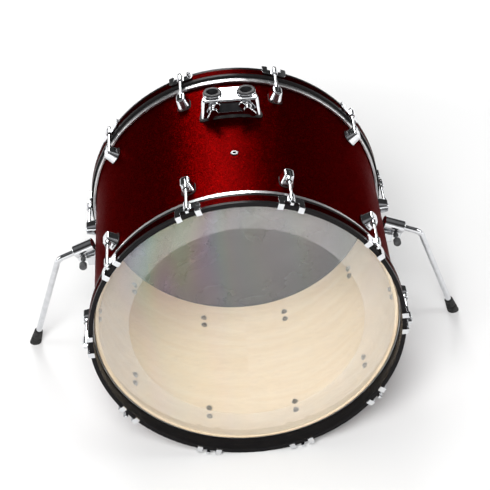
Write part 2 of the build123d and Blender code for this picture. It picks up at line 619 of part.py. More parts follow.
def tom_bush(x):
    """Nylon bush in a socket, with a flange on top and a window for the wing bolt's pad."""
    flange_radius, flange_height = BUSH_FLANGE
    top = BRACKET_TOP + SOCKET_RIM_HEIGHT
    bottom = AXIS_HEIGHT + SHELL_INNER_RADIUS - BUSH_BELOW_SHELL
    body = Pos(0, 0, (top + bottom) / 2) * Cylinder(BUSH_RADIUS - BUSH_FIT, top - bottom)
    flange = Pos(0, 0, top + flange_height / 2) * Cylinder(flange_radius, flange_height)
    body += fillet(flange.edges().sort_by(Axis.Z)[-1], BUSH_FLANGE_ROUND)
    body -= Pos(0, 0, top) * Cylinder(SOCKET_RADIUS, 2 * LONG)
    body -= Pos(0, 0, WING_BOLT_HEIGHT) * rod_along_y(WING_BOLT_RADIUS + ROD_FIT, -LONG, 0)
    return Pos(x, SOCKET_DEPTH, 0) * body


def wing_bolt(name):
    """Wing bolt that clamps a tom tube: shaft, hub and two wings on one slanted line."""
    radius, length, gap = WING_HUB
    wing_height, wing_thickness = WING_SIZE
    tip = PAD_GAP - BUSH_RADIUS
    hub_end = BRACKET_NEAR - WING_NOSE[1] - gap - SOCKET_DEPTH
    hub_start = hub_end - length
    shaft = rod_along_y(WING_BOLT_RADIUS, (hub_start + hub_end) / 2, tip)
    hub = rod_along_y(radius, hub_start, hub_end)
    hub = fillet(hub.edges().filter_by(GeomType.CIRCLE), WING_HUB_ROUND)
    outline = UPRIGHT * SlotOverall(WING_SPAN, wing_height)
    wings = Pos(0, hub_start + length / 2 + wing_thickness / 2, 0) * extrude(outline, wing_thickness)
    wings = fillet(wings.edges(), WING_ROUND)
    place = Pos(SOCKETS[name], SOCKET_DEPTH, WING_BOLT_HEIGHT)
    return place * (shaft + Rot(0, WING_SLANTS[name], 0) * (hub + wings))


def tom_pad(x):
    """Small pad on the wing bolt's tip, which presses on the tom tube."""
    bar = rod_along_y(WING_BOLT_RADIUS, PAD_GAP - BUSH_RADIUS, -SOCKET_RADIUS - PAD_GAP)
    return Pos(x, SOCKET_DEPTH, WING_BOLT_HEIGHT) * bar


# ---------------------------------------------------------------- spurs (right hand)
def spur_frames():
    """Frames of the two spur brackets on the shell."""
    return [station(a, SHELL_RADIUS, SPUR_BRACKET_DEPTH) for a in (SPUR_ANGLE, -SPUR_ANGLE)]


def arm_frame():
    """Frame on the spur's arm: Z out along the arm, X down across it, Y along the drum."""
    root = Vector(*SPUR_ARM_ROOT)
    out = (Vector(*SPUR_BEND) - root).normalized()
    down = Vector(out.Z, 0, -out.X)
    return Plane(origin=root, x_dir=down, z_dir=out).location


def spur_leg_direction():
    """Direction of the spur's long leg, from its bend to the floor."""
    return (Vector(*SPUR_FLOOR_POINT) - Vector(*SPUR_BEND)).normalized()


def spur_bracket():
    """Cast bracket with a split clamp for the spur's arm."""
    frame = station(SPUR_ANGLE, SPUR_SEAT, SPUR_BRACKET_DEPTH)
    width, length, height = SPUR_PLATE
    low = Pos(0, 0, -SPUR_PLATE_SINK)
    plate = extrude(low * RectangleRounded(width, length, SPUR_PLATE_CORNER), height + SPUR_PLATE_SINK)
    plate = fillet(plate.faces().sort_by(Axis.Z)[-1].edges(), SPUR_PLATE_ROUND)
    side, rise, taper = SPUR_PEDESTAL
    square = Pos(*SPUR_PEDESTAL_MIDDLE) * RectangleRounded(side, side, SPUR_PLATE_CORNER)
    pedestal = extrude(low * square, rise + SPUR_PLATE_SINK, taper=taper)
    arm = arm_frame()
    middle = (SPUR_TOWER_LENGTH - SPUR_TOWER_ROOT) / 2
    tower = Pos(0, 0, middle) * Cylinder(SPUR_TOWER_RADIUS, SPUR_TOWER_LENGTH + SPUR_TOWER_ROOT)
    mouth = tower.edges().filter_by(GeomType.CIRCLE).sort_by(Axis.Z)[-1]
    tower = fillet(mouth, SPUR_TOWER_ROUND)
    reach, thick, ear = SPUR_EAR
    ear_low, ear_high = SPUR_TOWER_LENGTH - ear, SPUR_TOWER_LENGTH - SPUR_EAR_INSET
    ears = box((0, reach), (-thick / 2, thick / 2), (ear_low, ear_high))
    ears = fillet(ears.edges().filter_by(Axis.Y).sort_by(Axis.X)[-2:], SPUR_EAR_ROUND)
    body = frame * (plate + pedestal) + arm * (tower + ears)
    body -= drum_cylinder(SPUR_SEAT)
    body -= arm * Pos(0, 0, SPUR_BORE_START + LONG / 2) * Cylinder(SPUR_SLEEVE_RADIUS, LONG)
    slit = box((0, LONG), (-SPUR_SLIT / 2, SPUR_SLIT / 2), (ear_low - SPUR_SLIT_DEPTH, LONG))
    body -= arm * slit
    body -= spur_screw_frame() * rod_along_y(SPUR_SCREW_RADIUS + ROD_FIT, -LONG, LONG)
    for x, y in SPUR_BOLTS:
        body -= frame * Pos(x, y, 0) * Cylinder(BOLT_RADIUS, 2 * (BOLT_BITE + SPUR_BOLT_GAP))
    return body


def spur_screw_frame():
    """Frame of the clamp screw, across the clamp's ears."""
    reach, _, length = SPUR_EAR
    return arm_frame() * Pos(reach - SPUR_SCREW_INSET, 0, SPUR_TOWER_LENGTH - length / 2)


def spur_gasket():
    """Rubber seat under the spur bracket."""
    frame = station(SPUR_ANGLE, SPUR_SEAT, SPUR_BRACKET_DEPTH)
    width, length = [side + 2 * SPUR_GASKET_MARGIN for side in SPUR_PLATE[:2]]
    outline = RectangleRounded(width, length, SPUR_PLATE_CORNER + SPUR_GASKET_MARGIN)
    pad = frame * extrude(Pos(0, 0, -LONG / 4) * outline, LONG / 2)
    pad &= ring(WRAP_RADIUS, SPUR_SEAT, 0, HALF_SHELL)
    for x, y in SPUR_BOLTS:
        pad -= frame * Pos(x, y, 0) * Cylinder(BOLT_RADIUS + HOLE_CLEARANCE, LONG)
    return pad


def spur_backing_plate():
    """Steel plate inside the shell, under the spur bracket's bolts."""
    frame = station(SPUR_ANGLE, SHELL_INNER_RADIUS, SPUR_BRACKET_DEPTH)
    outline = RectangleRounded(*SPUR_PLATE[:2], PLATE_CORNER)
    plate = frame * extrude(Pos(0, 0, -LONG / 4) * outline, LONG / 2)
    top = SHELL_INNER_RADIUS - PLATE_GAP
    plate &= ring(top - PLATE_THICKNESS, top, 0, HALF_SHELL)
    for x, y in SPUR_BOLTS:
        plate -= frame * Pos(x, y, 0) * Cylinder(BOLT_RADIUS + HOLE_CLEARANCE, LONG)
    return plate


def spur_sleeve():
    """Nylon sleeve in the clamp, which turns with the arm."""
    length = SPUR_TOWER_LENGTH + SPUR_TOWER_ROOT
    tube = Cylinder(SPUR_SLEEVE_RADIUS - ROD_FIT, length) - Cylinder(SPUR_RADIUS + ROD_FIT, length)
    return arm_frame() * Pos(0, 0, SPUR_TOWER_LENGTH - length / 2) * tube


def spur_leg():
    """Bent rod: a short arm in the clamp and a long leg to the floor."""
    root = Vector(*SPUR_ARM_ROOT)
    out = (Vector(*SPUR_BEND) - root).normalized()
    start = root - out * SPUR_ARM_START
    end = Vector(*SPUR_FLOOR_POINT) - spur_leg_direction() * SPUR_LEG_STOP
    path = FilletPolyline(start, Vector(*SPUR_BEND), end, radius=SPUR_BEND_RADIUS)
    section = Plane(origin=start, z_dir=out) * Circle(SPUR_RADIUS)
    return sweep(section, path=path)


def spur_foot():
    """Rubber foot on the leg's end, cut flat where it stands on the floor."""
    bottom_radius, top_radius, length = SPUR_FOOT
    up = spur_leg_direction() * -1
    floor_point = Vector(*SPUR_FLOOR_POINT)
    frame = Plane(origin=floor_point - up * SPUR_FOOT_SINK, z_dir=up).location
    whole = length + SPUR_FOOT_SINK
    foot = Pos(0, 0, whole / 2) * Cone(bottom_radius, top_radius, whole)
    rim = foot.edges().filter_by(GeomType.CIRCLE).sort_by(Axis.Z)[-1]
    foot = fillet(rim, SPUR_FOOT_ROUND)
    share, width = SPUR_GROOVE
    groove = Cylinder(2 * bottom_radius, width) - Cylinder(top_radius, width)
    foot = frame * (foot - Pos(0, 0, length * share) * groove)
    foot -= Pos(floor_point.X, floor_point.Y, -LONG / 2) * Box(LONG, LONG, LONG)
    return foot - spur_leg()


def spur_knob():
    """Clamp screw with a round knob that faces the drummer."""
    radius, length = SPUR_KNOB
    ear_face = SPUR_EAR[1] / 2
    near, behind = SPUR_SCREW_ENDS
    shaft = rod_along_y(SPUR_SCREW_RADIUS, -ear_face - near, ear_face + behind)
    knob_end = -ear_face - SPUR_KNOB_REACH
    knob = rod_along_y(radius, knob_end - length, knob_end)
    knob = fillet(knob.edges().filter_by(GeomType.CIRCLE), SPUR_KNOB_ROUND)
    collar_radius, gap, far = SPUR_COLLAR
    collar = rod_along_y(collar_radius, -ear_face - far, -ear_face - gap)
    return spur_screw_frame() * (shaft + knob + collar)


# ---------------------------------------------------------------- write the parts
def lug_pieces():
    """Lugs of each side and the hardware that they share."""
    lugs = {side: [] for side in SIDES}
    shared = {"lug_nuts": [], "lug_gaskets": [], "lug_screws": [], "lug_washers": []}
    block, nut, gasket = lug(), lug_nut(), lug_gasket()
    reach = LUG_SEAT - SHELL_INNER_RADIUS + LUG_SCREW_BITE - FASTENER_GAP
    screw, washer = inner_fastener(SCREW_RADIUS, WASHER_RADIUS, reach)
    for side in SIDES:
        for angle in LUG_ANGLES:
            seat = side_station(angle, LUG_SEAT, LUG_DEPTH, side)
            on_wrap = side_station(angle, WRAP_RADIUS, LUG_DEPTH, side)
            lugs[side].append(seat * block)
            shared["lug_nuts"].append(seat * nut)
            shared["lug_gaskets"].append(on_wrap * gasket)
            inside = side_station(angle, SHELL_INNER_RADIUS, LUG_DEPTH, side)
            for offset in (-LUG_SCREW_SPACING / 2, LUG_SCREW_SPACING / 2):
                shared["lug_screws"].append(inside * Pos(0, offset, 0) * screw)
                shared["lug_washers"].append(inside * Pos(0, offset, 0) * washer)
    return lugs, shared


def save_head(side):
    """Head, hoop, claws and rods of one side."""
    hoop_body, inlay = hoop()
    save(f"{side}_film", for_side(film(), side))
    flesh_low = HOOP_BACK - FLESH_DEPTH
    flesh = rounded_ring(FLESH_INNER_RADIUS, FLESH_OUTER_RADIUS, flesh_low, HOOP_BACK, FLESH_ROUND)
    save(f"{side}_flesh_hoop", for_side(flesh, side))
    save(f"{side}_hoop", for_side(hoop_body, side))
    save(f"{side}_hoop_inlay", for_side(inlay, side))
    pieces = {"claws": [claw()], "claw_liners": claw_liner(), "tension_rods": [tension_rod()],
              "rod_washers": [rod_washer()]}
    for name, items in pieces.items():
        save(f"{side}_{name}", [frame * item for frame in claw_frames(side) for item in items])


def save_tom_bracket():
    """Tom bracket with its seat, bolts, bushes and wing bolts."""
    save("tom_bracket", tom_bracket())
    save("tom_bracket_cover", bracket_cover())
    save("tom_bracket_gasket", bracket_pad(WRAP_RADIUS, BRACKET_SEAT, BRACKET_GASKET_MARGIN))
    plate_top = SHELL_INNER_RADIUS - PLATE_GAP
    plate = bracket_pad(plate_top - PLATE_THICKNESS, plate_top, -BRACKET_PLATE_INSET)
    save("tom_backing_plate", plate)
    bolt_seat = plate_top - PLATE_THICKNESS - PLATE_GAP
    reach = BRACKET_SEAT + BRACKET_BOLT_BITE - bolt_seat
    bolt, washer = inner_fastener(BOLT_RADIUS, BOLT_WASHER_RADIUS, reach)
    places = [station(a, bolt_seat, y) for a, y in BRACKET_BOLTS]
    save("tom_bracket_bolts", [place * bolt for place in places])
    save("tom_bracket_washers", [place * washer for place in places])
    for name, x in SOCKETS.items():
        save(f"{name}_tom_bush", tom_bush(x))
        save(f"{name}_tom_wing_bolt", wing_bolt(name))
        save(f"{name}_tom_pad", tom_pad(x))


def save_spurs():
    """Both spurs; the left one is the right one mirrored."""
    for name, piece in (("bracket", spur_bracket()), ("sleeve", spur_sleeve()), ("leg", spur_leg()),
                        ("foot", spur_foot()), ("knob", spur_knob())):
        save(f"right_spur_{name}", piece)
        save(f"left_spur_{name}", mirrored(piece))
    bolt_seat = SHELL_INNER_RADIUS - PLATE_THICKNESS - SPUR_BOLT_DROP
    reach = SPUR_SEAT + BOLT_BITE - bolt_seat
    bolt, washer = inner_fastener(BOLT_RADIUS, BOLT_WASHER_RADIUS, reach)
    groups = {"gaskets": [spur_gasket()], "backing_plates": [spur_backing_plate()]}
    inside = station(SPUR_ANGLE, bolt_seat, SPUR_BRACKET_DEPTH)
    groups["bolts"] = [inside * Pos(x, y, 0) * bolt for x, y in SPUR_BOLTS]
    groups["washers"] = [inside * Pos(x, y, 0) * washer for x, y in SPUR_BOLTS]
    for name, items in groups.items():
        save(f"spur_{name}", items + [mirrored(item) for item in items])


os.makedirs("parts", exist_ok=True)
save("shell", shell())
save("shell_wrap", shell_wrap())
grommet, grommet_nut = vent_grommet()
save("vent_grommet", grommet)
save("vent_nut", grommet_nut)
all_lugs, lug_hardware = lug_pieces()
for side_name, items in all_lugs.items():
    save(f"{side_name}_lugs", items)
for node_name, items in lug_hardware.items():
    save(node_name, items)
for side_name in SIDES:
    save_head(side_name)
damping_low = HALF_SHELL - DAMPING_THICKNESS
damping_ring = ring(DAMPING_INNER_RADIUS, DAMPING_OUTER_RADIUS, damping_low, HALF_SHELL)
save("batter_damping_ring", for_side(damping_ring, "batter"))
save_tom_bracket()
save_spurs()
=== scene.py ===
"""Looks of the bass drum: materials, finer pieces, studio and camera.

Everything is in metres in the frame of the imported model. The drum's axis runs along Y, the
batter side faces -Y, +X is the drummer's right, +Z is up and the floor is at Z = 0.
"""
import math
import bmesh
import bpy
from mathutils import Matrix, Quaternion, Vector


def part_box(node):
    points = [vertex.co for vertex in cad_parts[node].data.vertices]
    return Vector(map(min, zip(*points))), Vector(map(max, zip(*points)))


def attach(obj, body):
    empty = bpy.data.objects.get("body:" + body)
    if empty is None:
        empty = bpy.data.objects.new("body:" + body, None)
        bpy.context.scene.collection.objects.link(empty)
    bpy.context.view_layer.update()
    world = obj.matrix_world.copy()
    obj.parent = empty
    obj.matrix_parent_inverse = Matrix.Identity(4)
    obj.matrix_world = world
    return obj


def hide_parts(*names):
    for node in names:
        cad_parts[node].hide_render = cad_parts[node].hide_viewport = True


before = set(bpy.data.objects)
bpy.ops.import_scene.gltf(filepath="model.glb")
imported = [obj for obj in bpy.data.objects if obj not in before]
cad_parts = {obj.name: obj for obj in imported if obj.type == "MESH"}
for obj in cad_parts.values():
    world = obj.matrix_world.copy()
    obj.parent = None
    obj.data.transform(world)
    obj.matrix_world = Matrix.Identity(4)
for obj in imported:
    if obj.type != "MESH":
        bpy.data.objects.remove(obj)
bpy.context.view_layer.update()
MM = 0.001

# ---------------------------------------------------------------- places read from the frame
wrap_low, wrap_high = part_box("shell_wrap")
film_low, film_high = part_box("batter_film")
ring_low, ring_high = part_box("batter_damping_ring")
AXIS_HEIGHT = (wrap_low.z + wrap_high.z) / 2
WRAP_RADIUS = (wrap_high.x - wrap_low.x) / 2
FILM_RADIUS = (film_high.x - film_low.x) / 2
FILM_FACE = -film_low.y                      # distance of each film's face from the middle
FILM_COLLAR = film_high.y - film_low.y       # depth of each film's cup
RING_OUTER = (ring_high.x - ring_low.x) / 2

# ---------------------------------------------------------------- sizes of the pieces made here
FILM_THICKNESS = 0.3 * MM
FILM_ROUND = 3.3 * MM                        # outer radius of the film's shoulder
FACE_STEPS = 12                              # rings of a film from its middle to its edge
SHOULDER_STEPS = 12                          # parts of its shoulder's quarter turn
RING_INNER = 216 * MM
RING_GAP = 0.1 * MM                          # between the ring and the film before it
SEGMENTS = 288                               # round the drum

# ---------------------------------------------------------------- sizes in the materials
FLAKE = 0.8 * MM                             # a glitter flake
LARGE_FLAKE_RATE = 0.38                      # large flakes to each fine one, along a line
FLAKE_TILT = 0.34                            # sideways lean of the most tilted flakes, doubled
SHELL_INNER = 272.4 * MM                     # radius of the shell's inside
PLY = 1.17 * MM                              # thickness of a layer of its wood
LACQUERED_EDGE = 0.5 * MM                    # radius that an edge catches light over
MOULDED_EDGE = 0.4 * MM
FRINGES_PER_METRE = 22.0                     # colours across the clear film
FRINGE_WANDER = 8.0                          # how far uneven stretch shifts them
FRINGE_PHASE = 2.6                           # which colour they start with, in radians
FILM_MIRROR = 0.074                          # share of light that clear film mirrors head on


# ---------------------------------------------------------------- shader helpers
def rgb(r, g, b):
    return (r, g, b, 1.0)


def grey(tone):
    return rgb(tone, tone, tone)


class Graph:
    """One node material, built by calls that read like formulas."""

    def __init__(self, name):
        self.material = bpy.data.materials.new(name)
        self.material.use_nodes = True
        self.tree = self.material.node_tree
        self.tree.nodes.clear()
        self.output = self.node("OutputMaterial")

    def node(self, kind, inputs=None, **settings):
        made = self.tree.nodes.new("ShaderNode" + kind)
        for key, value in settings.items():
            setattr(made, key, value)
        for key, value in (inputs or {}).items():
            self.feed(made.inputs[key], value)
        return made

    def feed(self, socket, value):
        if isinstance(value, bpy.types.NodeSocket):
            self.tree.links.new(value, socket)
        else:
            socket.default_value = value

    def place(self):
        """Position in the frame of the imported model, at rest."""
        return self.node("TexCoord").outputs["Object"]

    def facing(self):
        """The direction that the surface faces."""
        return self.node("NewGeometry").outputs["Normal"]

    def math(self, operation, *values):
        return self.node("Math", dict(enumerate(values)), operation=operation).outputs[0]

    def vector(self, operation, a, b=(0.0, 0.0, 0.0)):
        return self.node("VectorMath", {0: a, 1: b}, operation=operation).outputs[0]

    def combine(self, x, y, z):
        return self.node("CombineXYZ", {0: x, 1: y, 2: z}).outputs[0]

    def scaled(self, parts, factors):
        """A place to read a pattern at. A small factor draws the pattern out that way."""
        return self.vector("MULTIPLY", self.combine(*parts), factors)

    def split(self, vector):
        return self.node("SeparateXYZ", {0: vector}).outputs

    def noise(self, at, scale=1.0, detail=2.0, roughness=0.5, distortion=0.0):
        """Soft noise about 0.5. Scale is the number of features in each unit of at."""
        return self.node("TexNoise", {"Vector": at, "Scale": scale, "Detail": detail,
                                      "Roughness": roughness,
                                      "Distortion": distortion}).outputs["Fac"]

    def cells(self, at, scale):
        """A random colour for each cell of a 3-D pattern of flakes."""
        return self.node("TexVoronoi", {"Vector": at, "Scale": scale}).outputs["Color"]

    def remap(self, value, low, high, to_low, to_high):
        """The range low to high stretched to to_low to to_high, and held at its ends."""
        return self.node("MapRange", {0: value, 1: low, 2: high, 3: to_low, 4: to_high},
                         clamp=True).outputs[0]

    def blend(self, share, a, b):
        """Colour a with share of colour b."""
        return self.node("Mix", {0: share, 6: a, 7: b}, data_type="RGBA").outputs[2]

    def layer(self, share, under, over):
        """Shader under with share of shader over."""
        return self.node("MixShader", {0: share, 1: under, 2: over}).outputs[0]

    def bump(self, height, distance, strength=1.0, normal=None):
        inputs = {"Height": height, "Strength": strength, "Distance": distance}
        if normal is not None:
            inputs["Normal"] = normal
        return self.node("Bump", inputs).outputs[0]

    def soft_edges(self, radius):
        """Normals rounded over the sharp edges, as plating and lacquer leave them."""
        return self.node("Bevel", {"Radius": radius}, samples=4).outputs[0]

    def schlick(self, head_on):
        """Share of light mirrored by a surface that mirrors head_on of it face to face."""
        facing = self.node("LayerWeight", {"Blend": 0.5}).outputs["Facing"]
        rise = self.math("MULTIPLY", self.math("POWER", facing, 5.0), 1.0 - head_on)
        return self.math("ADD", rise, head_on)

    def round_the_drum(self):
        """(length round the drum, place along its axis, radius)."""
        x, y, z = self.split(self.vector("SUBTRACT", self.place(), (0.0, 0.0, AXIS_HEIGHT)))
        length = self.math("MULTIPLY", self.math("ARCTAN2", x, z), WRAP_RADIUS)
        radius = self.math("SQRT", self.math("ADD", self.math("MULTIPLY", x, x),
                                             self.math("MULTIPLY", z, z)))
        return length, y, radius

    def finish(self, shader):
        self.feed(self.output.inputs[0], shader)
        return self.material

    def principled(self, inputs):
        return self.finish(self.node("BsdfPrincipled", inputs).outputs[0])


# ---------------------------------------------------------------- materials
def sparkle(name, darkening_and_painted_shade):
    """Red glitter sheet: metal flakes at random tilts under a clear plastic face."""
    g = Graph(name)
    at = g.place()
    fine = g.cells(at, 1 / FLAKE)
    fine_r, fine_g, fine_b = g.split(fine)
    large = g.split(g.cells(at, LARGE_FLAKE_RATE / FLAKE))[0]
    bright_fine = g.remap(fine_g, 0.80, 1.0, 0.0, 0.85)
    bright_large = g.remap(large, 0.88, 0.98, 0.0, 0.7)
    # Painted shade: the flakes whose tilt leans furthest down are darkened, as if turned away
    # from the light.
    flake_painted_shade = g.remap(fine_b, 0.0, 0.25, 0.6, 0.0)
    cloud = g.remap(g.noise(at, 9.0, 3.0), 0.35, 0.65, 0.0, 0.12)
    base = g.blend(fine_r, rgb(0.060, 0.0, 0.0), rgb(0.20, 0.0, 0.001))
    base = g.blend(bright_fine, base, rgb(0.46, 0.0, 0.004))
    base = g.blend(bright_large, base, rgb(0.34, 0.0, 0.008))
    base = g.blend(flake_painted_shade, base, rgb(0.018, 0.0, 0.0))
    base = g.blend(cloud, base, rgb(0.07, 0.0, 0.0))
    # Darkened by a share: the glitter's own deep tone, and for the inlay painted shade as well.
    base = g.blend(darkening_and_painted_shade, base, grey(0.0))
    tilt = g.vector("MULTIPLY", g.vector("SUBTRACT", fine, (0.5, 0.5, 0.5)), (FLAKE_TILT,) * 3)
    ripple = g.bump(g.noise(at, 14.0), 0.35 * MM)
    return g.principled({
        "Base Color": base,
        "Metallic": g.remap(fine_g, 0.0, 1.0, 0.94, 1.0),
        "Roughness": g.remap(large, 0.0, 1.0, 0.27, 0.40),
        "Normal": g.vector("NORMALIZE", g.vector("ADD", g.facing(), tilt)),
        "Specular IOR Level": 0.0, "Specular Tint": rgb(0.30, 0.0, 0.004),
        "Coat Weight": 0.003, "Coat Roughness": 0.30, "Coat IOR": 1.45,
        "Coat Normal": ripple})


def lacquer(name):
    """Black lacquer over wood: deep and glossy, with orange peel, hairlines and a little dust."""
    g = Graph(name)
    at = g.place()
    hair = g.noise(g.scaled(g.round_the_drum(), (18.0, 900.0, 900.0)), 1.0, 3.0, 0.7)
    peel = g.noise(at, 420.0)
    dust = g.remap(g.noise(at, 1600.0, 2.0, 0.7), 0.60, 0.78, 0.0, 1.0)
    holds_dust = g.remap(g.split(g.facing())[2], 0.2, 1.0, 0.0, 0.5)
    base = g.blend(g.remap(hair, 0.3, 0.7, 0.0, 1.0), rgb(0.0045, 0.0045, 0.005),
                   rgb(0.011, 0.010, 0.010))
    base = g.blend(g.math("MULTIPLY", dust, holds_dust), base, rgb(0.10, 0.095, 0.09))
    edges = g.soft_edges(LACQUERED_EDGE)
    return g.principled({
        "Base Color": base,
        "Roughness": g.remap(hair, 0.25, 0.8, 0.16, 0.34),
        "Normal": g.bump(peel, 0.03 * MM, 0.6, edges),
        "Specular IOR Level": 0.03, "Coat Weight": 0.018, "Coat Roughness": 0.10,
        "Coat Normal": g.bump(peel, 0.02 * MM, 0.5, edges)})


def metal(name, light, dark, smooth, rough, edge, specks, brushed=False):
    """Plated or bare metal: tone, roughness and fine bump all vary a little.

    The tone runs from light to dark and the roughness from smooth to rough, edge is the
    radius its edges catch light over, and specks is the number of tiny stains to a metre."""
    g = Graph(name)
    at = g.place()
    if brushed:
        grain = g.noise(g.scaled(g.round_the_drum(), (25.0, 2600.0, 2600.0)), 1.0, 3.0, 0.65)
    else:
        grain = g.noise(at, 260.0, 4.0, 0.6)
    smear = g.noise(at, 55.0, 3.0, 0.55, 0.6)
    stain = g.noise(at, specks, 2.0, 0.6)
    stain_tone = rgb(*[0.45 * part for part in dark[:3]])
    base = g.blend(g.remap(smear, 0.35, 0.70, 0.0, 1.0), light, dark)
    base = g.blend(g.remap(stain, 0.68, 0.80, 0.0, 0.5), base, stain_tone)
    roughness = g.math("ADD", g.remap(grain, 0.3, 0.75, smooth, rough),
                       g.remap(stain, 0.66, 0.8, 0.0, 0.12))
    return g.principled({
        "Base Color": base, "Metallic": 1.0, "Roughness": roughness,
        "Normal": g.bump(grain, 0.012 * MM, 0.5, g.soft_edges(edge))})


def moulded(name, light, dark, rough, grain, depth):
    """Rubber or moulded plastic: a pebble grain, so wide and deep, with scuffed tone."""
    g = Graph(name)
    at = g.place()
    pebble = g.node("TexVoronoi", {"Vector": at, "Scale": 1 / grain},
                    feature="SMOOTH_F1").outputs["Distance"]
    scuff = g.noise(at, 90.0, 4.0, 0.65)
    return g.principled({
        "Base Color": g.blend(g.remap(scuff, 0.4, 0.75, 0.0, 1.0), dark, light),
        "Roughness": g.remap(scuff, 0.3, 0.7, rough + 0.08, rough - 0.10),
        "Specular IOR Level": 0.22,
        "Normal": g.bump(pebble, depth, 0.7, g.soft_edges(MOULDED_EDGE))})


def plywood(name):
    """Inside of the shell: pale veneer with its grain round the drum, and plies at the edges."""
    g = Graph(name)
    place = g.round_the_drum()
    length, depth, radius = place
    wander = g.noise(g.scaled(place, (2.2, 7.0, 7.0)), 1.0, 3.0)
    across = g.math("ADD", g.math("MULTIPLY", depth, 62.0), g.math("MULTIPLY", wander, 5.0))
    figure = g.noise(g.scaled((length, across, radius), (5.0, 1.0, 1.0)), 1.0, 5.0, 0.6)
    fibre = g.noise(g.scaled(place, (60.0, 1500.0, 1500.0)), 1.0, 3.0, 0.6)
    pores = g.noise(g.scaled(place, (130.0, 2300.0, 2300.0)), 1.0, 1.0)
    base = g.blend(g.remap(figure, 0.32, 0.68, 0.0, 1.0), rgb(0.90, 0.785, 0.60),
                   rgb(0.84, 0.70, 0.50))
    base = g.blend(g.remap(fibre, 0.35, 0.70, 0.0, 0.22), base, rgb(0.66, 0.50, 0.32))
    base = g.blend(g.remap(pores, 0.66, 0.78, 0.0, 0.55), base, rgb(0.33, 0.22, 0.12))
    layers = g.math("PINGPONG", g.math("SUBTRACT", radius, SHELL_INNER), PLY)
    dark_layer = g.remap(layers, 0.45 * MM, 0.72 * MM, 0.0, 1.0)
    below_face = g.remap(radius, SHELL_INNER + 0.4 * MM, SHELL_INNER + 0.8 * MM, 0.0, 0.55)
    base = g.blend(g.math("MULTIPLY", dark_layer, below_face), base, rgb(0.40, 0.27, 0.15))
    return g.principled({
        "Base Color": base,
        "Roughness": g.remap(figure, 0.3, 0.7, 0.42, 0.56),
        "Normal": g.bump(g.math("ADD", fibre, pores), 0.03 * MM, 0.5)})


def fringe_tint(g, x, y, z):
    """Pale interference colours of stretched film, strongest at the upper left of the head."""
    stretch = g.noise(g.scaled((x, y, z), (1.0, 1.0, 0.35)), 5.0)
    order = g.math("ADD", g.math("MULTIPLY", x, FRINGES_PER_METRE),
                   g.math("MULTIPLY", stretch, FRINGE_WANDER))
    angle = g.math("MULTIPLY", order, math.pi)
    waves = [g.math("SINE", g.math("ADD", angle, FRINGE_PHASE + third * math.tau / 3))
             for third in range(3)]
    colours = g.combine(*[g.remap(wave, -1.0, 1.0, 0.74, 1.12) for wave in waves])
    strained = g.math("MULTIPLY", g.remap(x, -0.24, -0.17, 0.0, 1.0),
                      g.remap(x, -0.09, -0.01, 1.0, 0.15))
    strained = g.math("MULTIPLY", strained, g.remap(z, 0.30, 0.42, 0.3, 1.0))
    return g.blend(strained, grey(0.98), colours)


def clear_film(name):
    """Clear polyester: nearly invisible, with a mirror's gloss, fine haze and colour fringes."""
    g = Graph(name)
    x, y, z = g.split(g.place())
    gloss = g.node("BsdfGlossy", {"Color": fringe_tint(g, x, y, z), "Roughness": 0.04})
    scuff = g.noise(g.scaled((x, z, y), (40.0, 160.0, 1.0)), 1.0, 4.0, 0.7)
    haze = g.node("BsdfDiffuse", {"Color": rgb(0.86, 0.87, 0.88)})
    through = g.node("BsdfTransparent", {"Color": grey(0.985)})
    hazy = g.layer(g.remap(scuff, 0.45, 0.8, 0.006, 0.03), through.outputs[0], haze.outputs[0])
    return g.finish(g.layer(g.schlick(FILM_MIRROR), hazy, gloss.outputs[0]))


def damping_film(name):
    """The frosted ring laminated behind the batter head."""
    g = Graph(name)
    at = g.place()
    frost = g.remap(g.noise(at, 900.0, 2.0, 0.7), 0.3, 0.7, 0.052, 0.095)
    cloud = g.remap(g.noise(at, 26.0, 3.0), 0.3, 0.7, 0.0, 0.03)
    milk = g.node("BsdfDiffuse", {"Color": rgb(0.90, 0.90, 0.91), "Roughness": 0.5})
    lit = g.node("BsdfTranslucent", {"Color": rgb(0.88, 0.88, 0.90)})
    body = g.layer(0.4, milk.outputs[0], lit.outputs[0])
    through = g.node("BsdfTransparent", {"Color": grey(0.98)})
    return g.finish(g.layer(g.math("ADD", frost, cloud), through.outputs[0], body))


def black_film(name):
    """Black polyester head: satin gloss, faint sweep marks."""
    g = Graph(name)
    at = g.place()
    sweep = g.noise(at, 7.0, 4.0, 0.6, 0.5)
    pebble = g.noise(at, 1400.0, 2.0, 0.6)
    return g.principled({
        "Base Color": g.blend(g.remap(sweep, 0.35, 0.7, 0.0, 1.0), rgb(0.007, 0.007, 0.008),
                              rgb(0.017, 0.016, 0.017)),
        "Roughness": g.remap(sweep, 0.3, 0.7, 0.15, 0.36),
        "Normal": g.bump(pebble, 0.01 * MM, 0.4)})


def studio_floor_look():
    """Pale grey by the drum. Far off it lightens and glows, as a backdrop does."""
    g = Graph("studio_floor_look")
    at = g.place()
    away = g.node("VectorMath", {0: at}, operation="LENGTH").outputs["Value"]
    near = g.blend(g.noise(at, 0.8, 3.0), grey(0.60), rgb(0.64, 0.64, 0.635))
    return g.principled({
        "Base Color": g.blend(g.remap(away, 0.7, 2.6, 0.0, 1.0), near, grey(0.86)),
        "Roughness": 0.6,
        "Emission Color": grey(1.0),
        "Emission Strength": g.remap(away, 1.1, 3.4, 0.0, 0.55),
        "Normal": g.bump(g.noise(at, 300.0), 0.1 * MM, 0.2)})


